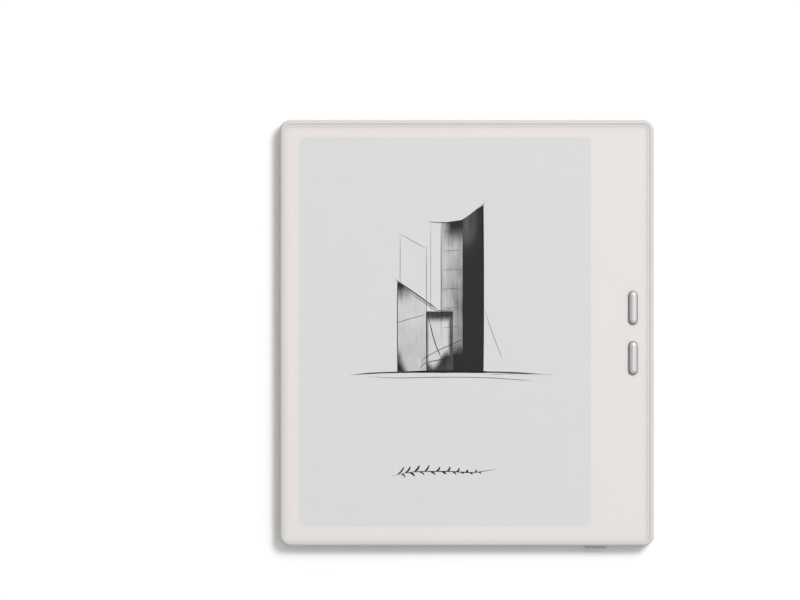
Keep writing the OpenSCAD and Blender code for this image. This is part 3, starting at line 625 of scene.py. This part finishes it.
def wash(left, right, darkness):
    """A brushed area between a left and a right edge, each given by its foot and its top.
    darkness(u, v) is 0 to 1, u across and v up."""
    (foot_l, top_l), (foot_r, top_r) = [[Vector(p) for p in edge] for edge in (left, right)]
    top_z = guide_lo.z + WASH_LIFT + WASH_LAYER * next(wash_tops)
    grid = []
    for j in range(WASH_STEPS + 1):
        row = []
        for i in range(WASH_STEPS + 1):
            u, v = i / WASH_STEPS, j / WASH_STEPS
            at = page_foot + foot_l.lerp(foot_r, u).lerp(top_l.lerp(top_r, u), v) * MM
            vert = washes.verts.new((at.x, at.y, top_z))
            vert[wash_ink] = max(0.0, min(1.0, darkness(u, v)))
            row.append(vert)
        grid.append(row)
    for low_row, high_row in zip(grid, grid[1:]):
        for i in range(WASH_STEPS):
            washes.faces.new((low_row[i], low_row[i + 1], high_row[i + 1], high_row[i]))
    close_grid(washes, grid, top_z - WASH_T)


def pen(points, width=0.32, tone="black", **how):
    stroke(tone, points, width, **how)


def fade(value, start, end):
    """0 at start and 1 at end, smooth between."""
    t = max(0.0, min(1.0, (value - start) / (end - start)))
    return t * t * (3 - 2 * t)


def tall_tower():
    """A dark slab with a face in half shade beside it."""
    wash(((0, 0), (0, 55.5)), ((7.5, 0), (7.5, 61)),
         lambda u, v: 1 - 0.1 * fade(v, 0.72, 0.95) * fade(u, 0.9, 0.3))
    wash(((-8, 0), (-8, 54.4)), ((0, 0), (0, 55.5)),
         lambda u, v: 0.3 + 0.35 * fade(u, 0.1, 1) * fade(v, 0.95, 0.5)
         + 0.7 * fade(v, 0.8, 0.96) * fade(u, 0, 0.5) + 0.7 * fade(v, 0.22, 0.05))
    pen([(-8, 12), (-8, 54.6)], 0.22)
    pen([(-12.6, 54.9), (-8, 54.5), (-0.4, 55.4), (8.8, 62.4)], 0.3, wobble=0.03)
    pen([(7.5, -0.4), (7.5, 61.4)], 0.45, wobble=0.03)
    pen([(0, -0.2), (0, 55.6)], 0.3, wobble=0.03)
    for floor_y in range(16, 52, 7):
        pen([(-7.6, floor_y), (-0.6, floor_y + 0.5)], 0.14, "dark")


def open_tower():
    """A second tower, only outlined."""
    pen([(-23, 30), (-23, 50)], 0.18, "dark", wobble=0.04)
    pen([(-23.2, 50.4), (-13.2, 44.8)], 0.18, "dark", wobble=0.04)
    pen([(-13.4, 20), (-13.4, 46.4)], 0.18, "dark", wobble=0.04)
    pen([(-11.8, 18), (-11.8, 54.8)], 0.16, "mid", wobble=0.04)


def low_block():
    """The block in front, under a lean-to roof."""
    wash(((-24, 0), (-24, 33)), ((-13.4, 0), (-13.4, 25.6)),
         lambda u, v: 0.12 + 0.95 * fade(v - 0.25 * u, 0.7, 0.98) * fade(u, 0.75, 0.1)
         + 0.75 * fade(v + 0.7 * u, 0.34, 0.1) + 0.14 * fade(v, 0.7, 0.2))
    wash(((-13.4, 0), (-13.4, 22)), ((-3.6, 0), (-3.6, 22)),
         lambda u, v: max(0.1, 0.97 * fade(v, 0.78, 0.92), 0.9 * fade(abs(u - 0.45), 0.32, 0.45),
                          0.95 * fade(v + 0.12 * math.sin(6 * u), 0.3, 0.12)))
    pen([(-24.8, 33.8), (-13.4, 25.6), (-9.6, 22.9)], 0.42, wobble=0.04)
    pen([(-24.2, 32.4), (-13.6, 24.8), (-9.6, 22.4), (-2.4, 22.5)], 0.22, wobble=0.04)
    pen([(-24, -0.2), (-24, 33)], 0.3, wobble=0.04)
    pen([(-13.4, 0), (-13.4, 25.6)], 0.26, wobble=0.04)
    pen([(-24.8, 17.6), (-19, 19.4), (-13, 21)], 0.2)


def garden_wall():
    """A low ramp that runs up to the tower, and two props."""
    pen([(-15.4, 3.4), (-12.4, 6), (-4, 10), (4, 13.6)], 0.22)
    pen([(-15.8, 1), (-13.4, 3.2), (-6, 5), (0, 8.4)], 0.26)
    pen([(-12.8, 20.6), (-10.4, 11), (-7.8, 4.6)], 0.34, wobble=0.03)
    pen([(7.8, 22.6), (11, 13.4), (14.4, 4.6)], 0.16, "dark", wobble=0.03)


def ground():
    pen([(-42, -1.4), (-30, -0.5), (-8, -0.1), (14, -0.3), (30, -1)], 0.55, taper=1)
    pen([(-26, -0.3), (-10, -0.1), (4, -0.1), (11, -0.3)], 0.9, taper=1)
    pen([(-36, -1.9), (-22, -2.4), (-8, -2.1), (14, -2.3)], 0.22, "dark", taper=1)
    pen([(2, -2), (14, -2.6), (26, -3.4)], 0.2, "dark", taper=1)
    pen([(8, -1.2), (20, -0.8), (34, -1.2)], 0.2, "mid", taper=1)


def flourish():
    """A sprig of leaves under the drawing."""
    stem = [(-27, -38.4), (-18, -36.8), (-6, -36.6), (4, -37), (13, -35.6)]
    pen(stem, 0.3, taper=1, wobble=0.1)
    line = curve_through([Vector(p) for p in stem])
    for i, at in enumerate(line[2:20]):
        size = 4.4 * (1 - i / 24) * draw.uniform(0.7, 1.1)
        side = 1 if i % 2 == 0 else -0.6
        tip = at + Vector((size * draw.uniform(0.5, 0.7), size * 0.75 * side))
        belly = at.lerp(tip, 0.5) + Vector((0.3, -0.25 * side))
        stroke("black", [at, belly, tip], draw.uniform(0.4, 0.8), taper=1, wobble=0.05)


for sketch in (tall_tower, open_tower, low_block, garden_wall, ground, flourish):
    sketch()
for tone, level in INK_TONES.items():
    name = f"page_ink_{tone}"
    piece(name, mesh_of(ink_strokes[tone]), "paper_screen", material=ink(name, level))
piece("page_ink_wash", mesh_of(washes), "paper_screen", material=ink_wash("page_ink_wash"))

# ---------------------------------------------------------------- page keys and their snap domes

CAP_ARCH_R = 1.9 * MM
FLANGE_EDGE_R = 0.1 * MM
NUB_R, NUB_T = 1 * MM, 0.1 * MM
DOME_R, DOME_H, DOME_T = 1.9 * MM, 0.42 * MM, 0.08 * MM


def key_mesh(at, top, flange_z):
    """A low arched cap on a straight stem, with the flange that holds it under the lens."""
    def ring(outset, z, width=KEY_W):
        return pill(KEY_L - KEY_W + width + 2 * outset, width + 2 * outset, at, upright=True), z
    rings = [ring(FLANGE_MARGIN, flange_z)]
    for inset, drop in reversed(quarter(FLANGE_EDGE_R, 2)):
        rings.append(ring(FLANGE_MARGIN - inset, flange_z + FLANGE_T - drop))
    rings.append(ring(0, flange_z + FLANGE_T))
    steps = 14
    steepest = math.asin(KEY_W / 2 / CAP_ARCH_R)
    for i in range(steps):
        a = steepest * (1 - i / steps)
        rings.append(ring(0, top - CAP_ARCH_R * (1 - math.cos(a)), 2 * CAP_ARCH_R * math.sin(a)))
    nub = [(circle(NUB_R, at), flange_z - NUB_T), (circle(NUB_R, at), flange_z + NUB_T)]
    return joined(loft(rings), loft(nub))


def dome_mesh(at, base):
    """A snap dome: a thin cap of a ball, open underneath."""
    ball_r = (DOME_R ** 2 + DOME_H ** 2) / (2 * DOME_H)
    steps = 10
    def rings(shrink):
        r = ball_r - shrink
        for i in range(steps + 1):
            a = math.asin(DOME_R / ball_r) * (1 - i / steps)
            height = max(base, base + DOME_H - ball_r + r * math.cos(a))
            yield circle(max(r * math.sin(a), NEAR), at, 40), height
    return loft([*reversed(list(rings(DOME_T))), *rings(0)])


for name in KEY_NODES:
    lo, hi = key_boxes[name]
    piece(f"{name}_cap", key_mesh(key_at[name], hi.z, lo.z + NUB_T), "key_metal", body=name, replaces=[name])
    dome_node = name.replace("page_key", "key_dome")
    dome_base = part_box(dome_node)[0].z
    dome = piece(f"{dome_node}_snap", dome_mesh(key_at[name], dome_base), "steel", replaces=[dome_node])
    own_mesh(dome)

# ---------------------------------------------------------------- power button, on the lower edge

button_lo, button_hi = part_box("power_button")
PORT_Z = (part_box("usb_c_shell")[0].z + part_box("usb_c_shell")[1].z) / 2
BUTTON_L, BUTTON_W = 8.2 * MM, 2.2 * MM
BUTTON_EARS_L, BUTTON_EARS_W = BUTTON_L + 1.4 * MM, 1.2 * MM
BUTTON_NECK_L, BUTTON_NUB_L = BUTTON_L - 1 * MM, 2.4 * MM
BUTTON_FACE_R = 0.45 * MM
BUTTON_CAP_Y = -75.1 * MM                           # where the cap ends and its neck begins
BUTTON_EARS_LO, BUTTON_EARS_HI = -74.6 * MM, -74.0 * MM
button_x = (button_lo.x + button_hi.x) / 2


def button_mesh():
    """A pill cap with a rounded face, on a neck with ears and a nub behind it."""
    def ring(length, width, y):
        return pill(length, width, (button_x, PORT_Z)), -y
    rings = [ring(BUTTON_NUB_L, BUTTON_EARS_W, button_hi.y),
             ring(BUTTON_NUB_L, BUTTON_EARS_W, BUTTON_EARS_HI),
             ring(BUTTON_EARS_L, BUTTON_EARS_W, BUTTON_EARS_HI),
             ring(BUTTON_EARS_L, BUTTON_EARS_W, BUTTON_EARS_LO),
             ring(BUTTON_NECK_L, BUTTON_EARS_W, BUTTON_EARS_LO),
             ring(BUTTON_NECK_L, BUTTON_EARS_W, BUTTON_CAP_Y),
             ring(BUTTON_L, BUTTON_W, BUTTON_CAP_Y)]
    for inset, drop in quarter(BUTTON_FACE_R, 7):
        rings.append(ring(BUTTON_L - 2 * inset, BUTTON_W - 2 * inset, button_lo.y + drop))
    return loft(rings, facing(X, Z, -Y))


piece("power_button_cap", button_mesh(), "key_metal", body="power_button", replaces=["power_button"],
      material=SHADED_BUTTON_METAL)

# ---------------------------------------------------------------- grip edge: tray door and USB-C

GRIP_EDGE = facing(Y, Z, X)         # a shape's own x runs up the edge, its z out of it
door_lo, door_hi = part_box("card_tray_door")
rod_lo, rod_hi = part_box("eject_rod")
door_outline = pill(door_hi.y - door_lo.y, door_hi.z - door_lo.z, ((door_lo.y + door_hi.y) / 2, PORT_Z))
PIN_HOLE_R, DOOR_EDGE_R = 0.5 * MM, 0.12 * MM
pin_hole = circle(PIN_HOLE_R, ((rod_lo.y + rod_hi.y) / 2, PORT_Z), 24)
piece("card_tray_cap", slab([door_outline, pin_hole], door_lo.x, door_hi.x, DOOR_EDGE_R, 2, GRIP_EDGE),
      "frame_plastic", body="card_tray", replaces=["card_tray_door"])

usb_lo, usb_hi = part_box("usb_c_shell")
tongue_lo, tongue_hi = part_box("usb_c_tongue")
usb_y = (usb_lo.y + usb_hi.y) / 2
USB_BACK_T = 0.5 * MM
USB_WALL_T = 0.3 * MM
BLADE_H = 0.7 * MM
CONTACT_PITCH, CONTACT_W, CONTACT_T = 0.5 * MM, 0.25 * MM, 0.03 * MM
CONTACT_TIP_GAP, CONTACT_ROOT_GAP = 0.7 * MM, 1.5 * MM      # bare blade beyond each end of a contact


def usb_shell_mesh():
    """A drawn tube with a rolled mouth, closed at the back."""
    w, h = usb_hi.y - usb_lo.y, usb_hi.z - usb_lo.z
    outer, inner = pill(w, h, (usb_y, PORT_Z)), pill(w - 2 * USB_WALL_T, h - 2 * USB_WALL_T, (usb_y, PORT_Z))
    tube = slab([outer, inner], usb_lo.x, usb_hi.x, 0.1 * MM, 3, GRIP_EDGE)
    back = slab([pill(w - 0.1 * MM, h - 0.1 * MM, (usb_y, PORT_Z))], usb_lo.x, usb_lo.x + USB_BACK_T,
                0.05 * MM, 1, GRIP_EDGE)
    return joined(tube, back)


def usb_tongue_mesh():
    """The contact tongue, chamfered at its tip, on its thicker root."""
    middle, w = (usb_y, PORT_Z), tongue_hi.y - tongue_lo.y
    root_h = tongue_hi.z - tongue_lo.z
    def ring(width, height, x):
        return rounded_rect(width, height, 0.1 * MM, middle, 3), x
    blade = [ring(w, BLADE_H, tongue_lo.x), ring(w, BLADE_H, tongue_hi.x - 0.4 * MM),
             ring(w - 0.5 * MM, BLADE_H - 0.3 * MM, tongue_hi.x)]
    root = [ring(w, root_h, tongue_lo.x), ring(w, root_h, tongue_lo.x + 1 * MM),
            ring(w - 0.2 * MM, root_h - 0.2 * MM, tongue_lo.x + 1.2 * MM)]
    return joined(loft(blade, GRIP_EDGE), loft(root, GRIP_EDGE))


def usb_contacts_mesh():
    """Twelve flat contacts on each face of the tongue."""
    bm = bmesh.new()
    length = tongue_hi.x - tongue_lo.x - CONTACT_TIP_GAP - CONTACT_ROOT_GAP
    for side in (-1, 1):
        for i in range(12):
            centre = (tongue_hi.x - CONTACT_TIP_GAP - length / 2, usb_y + (i - 5.5) * CONTACT_PITCH,
                      PORT_Z + side * BLADE_H / 2)
            place = Matrix.Translation(centre) @ Matrix.Diagonal((length, CONTACT_W, CONTACT_T, 1))
            bmesh.ops.create_cube(bm, size=1, matrix=place)
    return mesh_of(bm)


piece("usb_c_tube", usb_shell_mesh(), "nickel", replaces=["usb_c_shell"])
piece("usb_c_blade", usb_tongue_mesh(), "black_plastic", replaces=["usb_c_tongue"])
piece("usb_c_contacts", usb_contacts_mesh(), "contact_gold")

# ---------------------------------------------------------------- rear: leather-grained skins

GRAIN_PITCH = (0.6 * MM, 0.37 * MM)
GRAIN_DEPTH = 0.28 * MM
EDGE_ROUND = 0.15 * MM


def grain(x, y):
    """Depth of the pebbled leather at a point, from 0 on the pebbles' tops to 1 in the deepest creases.
    The pebbles are wider than they are high."""
    across, up = x / (1.7 * MM), y / MM
    warp = 0.35 * noise.noise(Vector((across, up, 3)))
    near, far = noise.voronoi(Vector((across + warp, up - warp, 0)))[0][:2]
    crease = max(0.0, 1 - (far - near) / 0.5) ** 1.5
    swell = 0.5 + 0.5 * noise.noise(Vector((across, up, 0)) * 1.3)
    fine = 0.5 + 0.5 * noise.noise(Vector((across, up, 9)) * 2.2)
    return min(1.0, 0.5 * crease + 0.3 * swell + 0.2 * fine)


def grained_panel(low, high, z_out, z_in, corners):
    """A skin from its outer face at z_out to its inner one at z_in. Its edges are rolled in, and the
    corners given by the signs of their x and y are rounded."""
    def stations(a, b, pitch):
        edge = [0, 0.02 * MM, 0.07 * MM, EDGE_ROUND]
        count = round((b - a - 2 * EDGE_ROUND) / pitch)
        inner = [a + EDGE_ROUND + i * (b - a - 2 * EDGE_ROUND) / count for i in range(1, count)]
        return [a + e for e in edge] + inner + [b - e for e in reversed(edge)]

    def rounded(x, y):
        """Draws a point of a square corner in to the round one."""
        for sx, sy in corners:
            cx = (high.x if sx > 0 else low.x) - sx * PANEL_R
            cy = (high.y if sy > 0 else low.y) - sy * PANEL_R
            a, b = sx * (x - cx) / PANEL_R, sy * (y - cy) / PANEL_R
            if a > 0 and b > 0:
                pull = max(a, b) / math.hypot(a, b)
                return cx + sx * a * pull * PANEL_R, cy + sy * b * pull * PANEL_R
        return x, y

    xs, ys = stations(low.x, high.x, GRAIN_PITCH[0]), stations(low.y, high.y, GRAIN_PITCH[1])
    bm = bmesh.new()
    grid = []
    for y in ys:
        row = []
        for x in xs:
            inset = min(x - low.x, high.x - x, y - low.y, high.y - y, EDGE_ROUND)
            roll = EDGE_ROUND - math.sqrt(max(0.0, EDGE_ROUND ** 2 - (EDGE_ROUND - inset) ** 2))
            px, py = rounded(x, y)
            relief = GRAIN_DEPTH * grain(px, py) * inset / EDGE_ROUND
            row.append(bm.verts.new((px, py, z_out + roll + relief)))
        grid.append(row)
    for low_row, high_row in zip(grid, grid[1:]):
        for i in range(len(xs) - 1):
            bm.faces.new((low_row[i], high_row[i], high_row[i + 1], low_row[i + 1]))
    close_grid(bm, grid, z_in)
    return mesh_of(bm)


for node, side in (("rear_skin", -1), ("grip_skin", 1)):
    lo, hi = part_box(node)
    piece(f"{node}_leather", grained_panel(lo, hi, lo.z, hi.z, [(side, -1), (side, 1)]),
          "grained_skin", replaces=[node])

# the seam between the skins is filled on both sides of the cover's bead, and sealant holds their edges
seam_x = (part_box("rear_skin")[1].x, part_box("grip_skin")[0].x)
skin_lo, skin_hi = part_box("grip_skin")
COVER_BEAD_W = 0.3 * MM
FILL_GAP, FILL_R = 0.02 * MM, 0.02 * MM
FILL_SINK, BEAD_SINK = 0.14 * MM, 0.12 * MM         # how far each lies in from the skins' outer face
fill_w = (seam_x[1] - seam_x[0] - COVER_BEAD_W) / 2 - 2 * FILL_GAP
fill_h = skin_hi.y - skin_lo.y - 2 * MM
fills = [rounded_rect(fill_w, fill_h, FILL_R, (x + side * (FILL_GAP + fill_w / 2), 0), 2)
         for x, side in zip(seam_x, (1, -1))]
piece("seam_filling", slab(fills, skin_lo.z + FILL_SINK, skin_hi.z, FILL_R, 1), "grained_skin")
piece("rear_sealant", slab([bead_outline, lens_outline], skin_lo.z + BEAD_SINK, skin_hi.z, FINE_EDGE, 1),
      "frame_plastic")

# ---------------------------------------------------------------- stage: floor, lights, camera

floor_mesh = bpy.data.meshes.new("floor")
FLOOR_Z = -0.05 * MM           # clear of the rear skins' highest pebbles
FLOOR_HALF = 8
floor_corners = [(x * FLOOR_HALF, y * FLOOR_HALF, FLOOR_Z) for x, y in ((-1, -1), (1, -1), (1, 1), (-1, 1))]
floor_mesh.from_pydata(floor_corners, [], [(0, 1, 2, 3)])
floor = bpy.data.objects.new("floor", floor_mesh)
scene.collection.objects.link(floor)
floor_shader = Shader("floor_paper", (0.87, 0.87, 0.87), 0.9, Specular_IOR_Level=0.1)
floor_tone = floor_shader.mix(floor_shader.noise(6), (0.865, 0.865, 0.865), (0.875, 0.875, 0.875))
floor_shader.colour_from(floor_tone)
floor_mesh.materials.append(floor_shader.material)

LIGHT_FROM = Vector((0.45, 0.48, 0.88)).normalized()


def studio_world(dim, bright):
    """Soft light that is strongest from the key light's side and dim from the other."""
    world = bpy.data.worlds.new("studio")
    scene.world = world
    world.use_nodes = True
    tree = world.node_tree
    direction = tree.nodes.new("ShaderNodeTexCoord").outputs["Generated"]
    towards = tree.nodes.new("ShaderNodeVectorMath")
    towards.operation = "DOT_PRODUCT"
    towards.inputs[1].default_value = LIGHT_FROM
    tree.links.new(direction, towards.inputs[0])
    spread = tree.nodes.new("ShaderNodeMapRange")
    for i, value in enumerate((-0.4, 1.0, dim, bright), 1):
        spread.inputs[i].default_value = value
    tree.links.new(towards.outputs["Value"], spread.inputs[0])
    background = tree.nodes["Background"]
    background.inputs["Color"].default_value = (1, 1, 1, 1)
    tree.links.new(spread.outputs[0], background.inputs["Strength"])


def softbox(name, direction, distance, size, power):
    """A square light at a distance in a direction, aimed at the object."""
    light = bpy.data.lights.new(name, "AREA")
    light.shape = "SQUARE"
    light.size = size
    light.energy = power
    obj = bpy.data.objects.new(name, light)
    obj.location = direction * distance
    obj.rotation_euler = direction.to_track_quat("Z", "Y").to_euler()
    scene.collection.objects.link(obj)


studio_world(0.1, 0.95)
softbox("key_light", LIGHT_FROM, 3.2, 1.0, 71)

# The camera looks straight down on the page. The object sits right of and below the middle of the view.
VIEW_WIDTH = 0.2926            # what the frame's width takes in at the front face
VIEW_CENTRE = (-0.02455, 0.0120)
LENS = 200
camera = bpy.data.cameras.new("camera")
camera.lens = LENS
camera.clip_start, camera.clip_end = 0.05, 30
camera_object = bpy.data.objects.new("camera", camera)
camera_object.location = (*VIEW_CENTRE, frame_hi.z + VIEW_WIDTH * LENS / camera.sensor_width)
scene.collection.objects.link(camera_object)
scene.camera = camera_object
scene.view_settings.view_transform = "Standard"
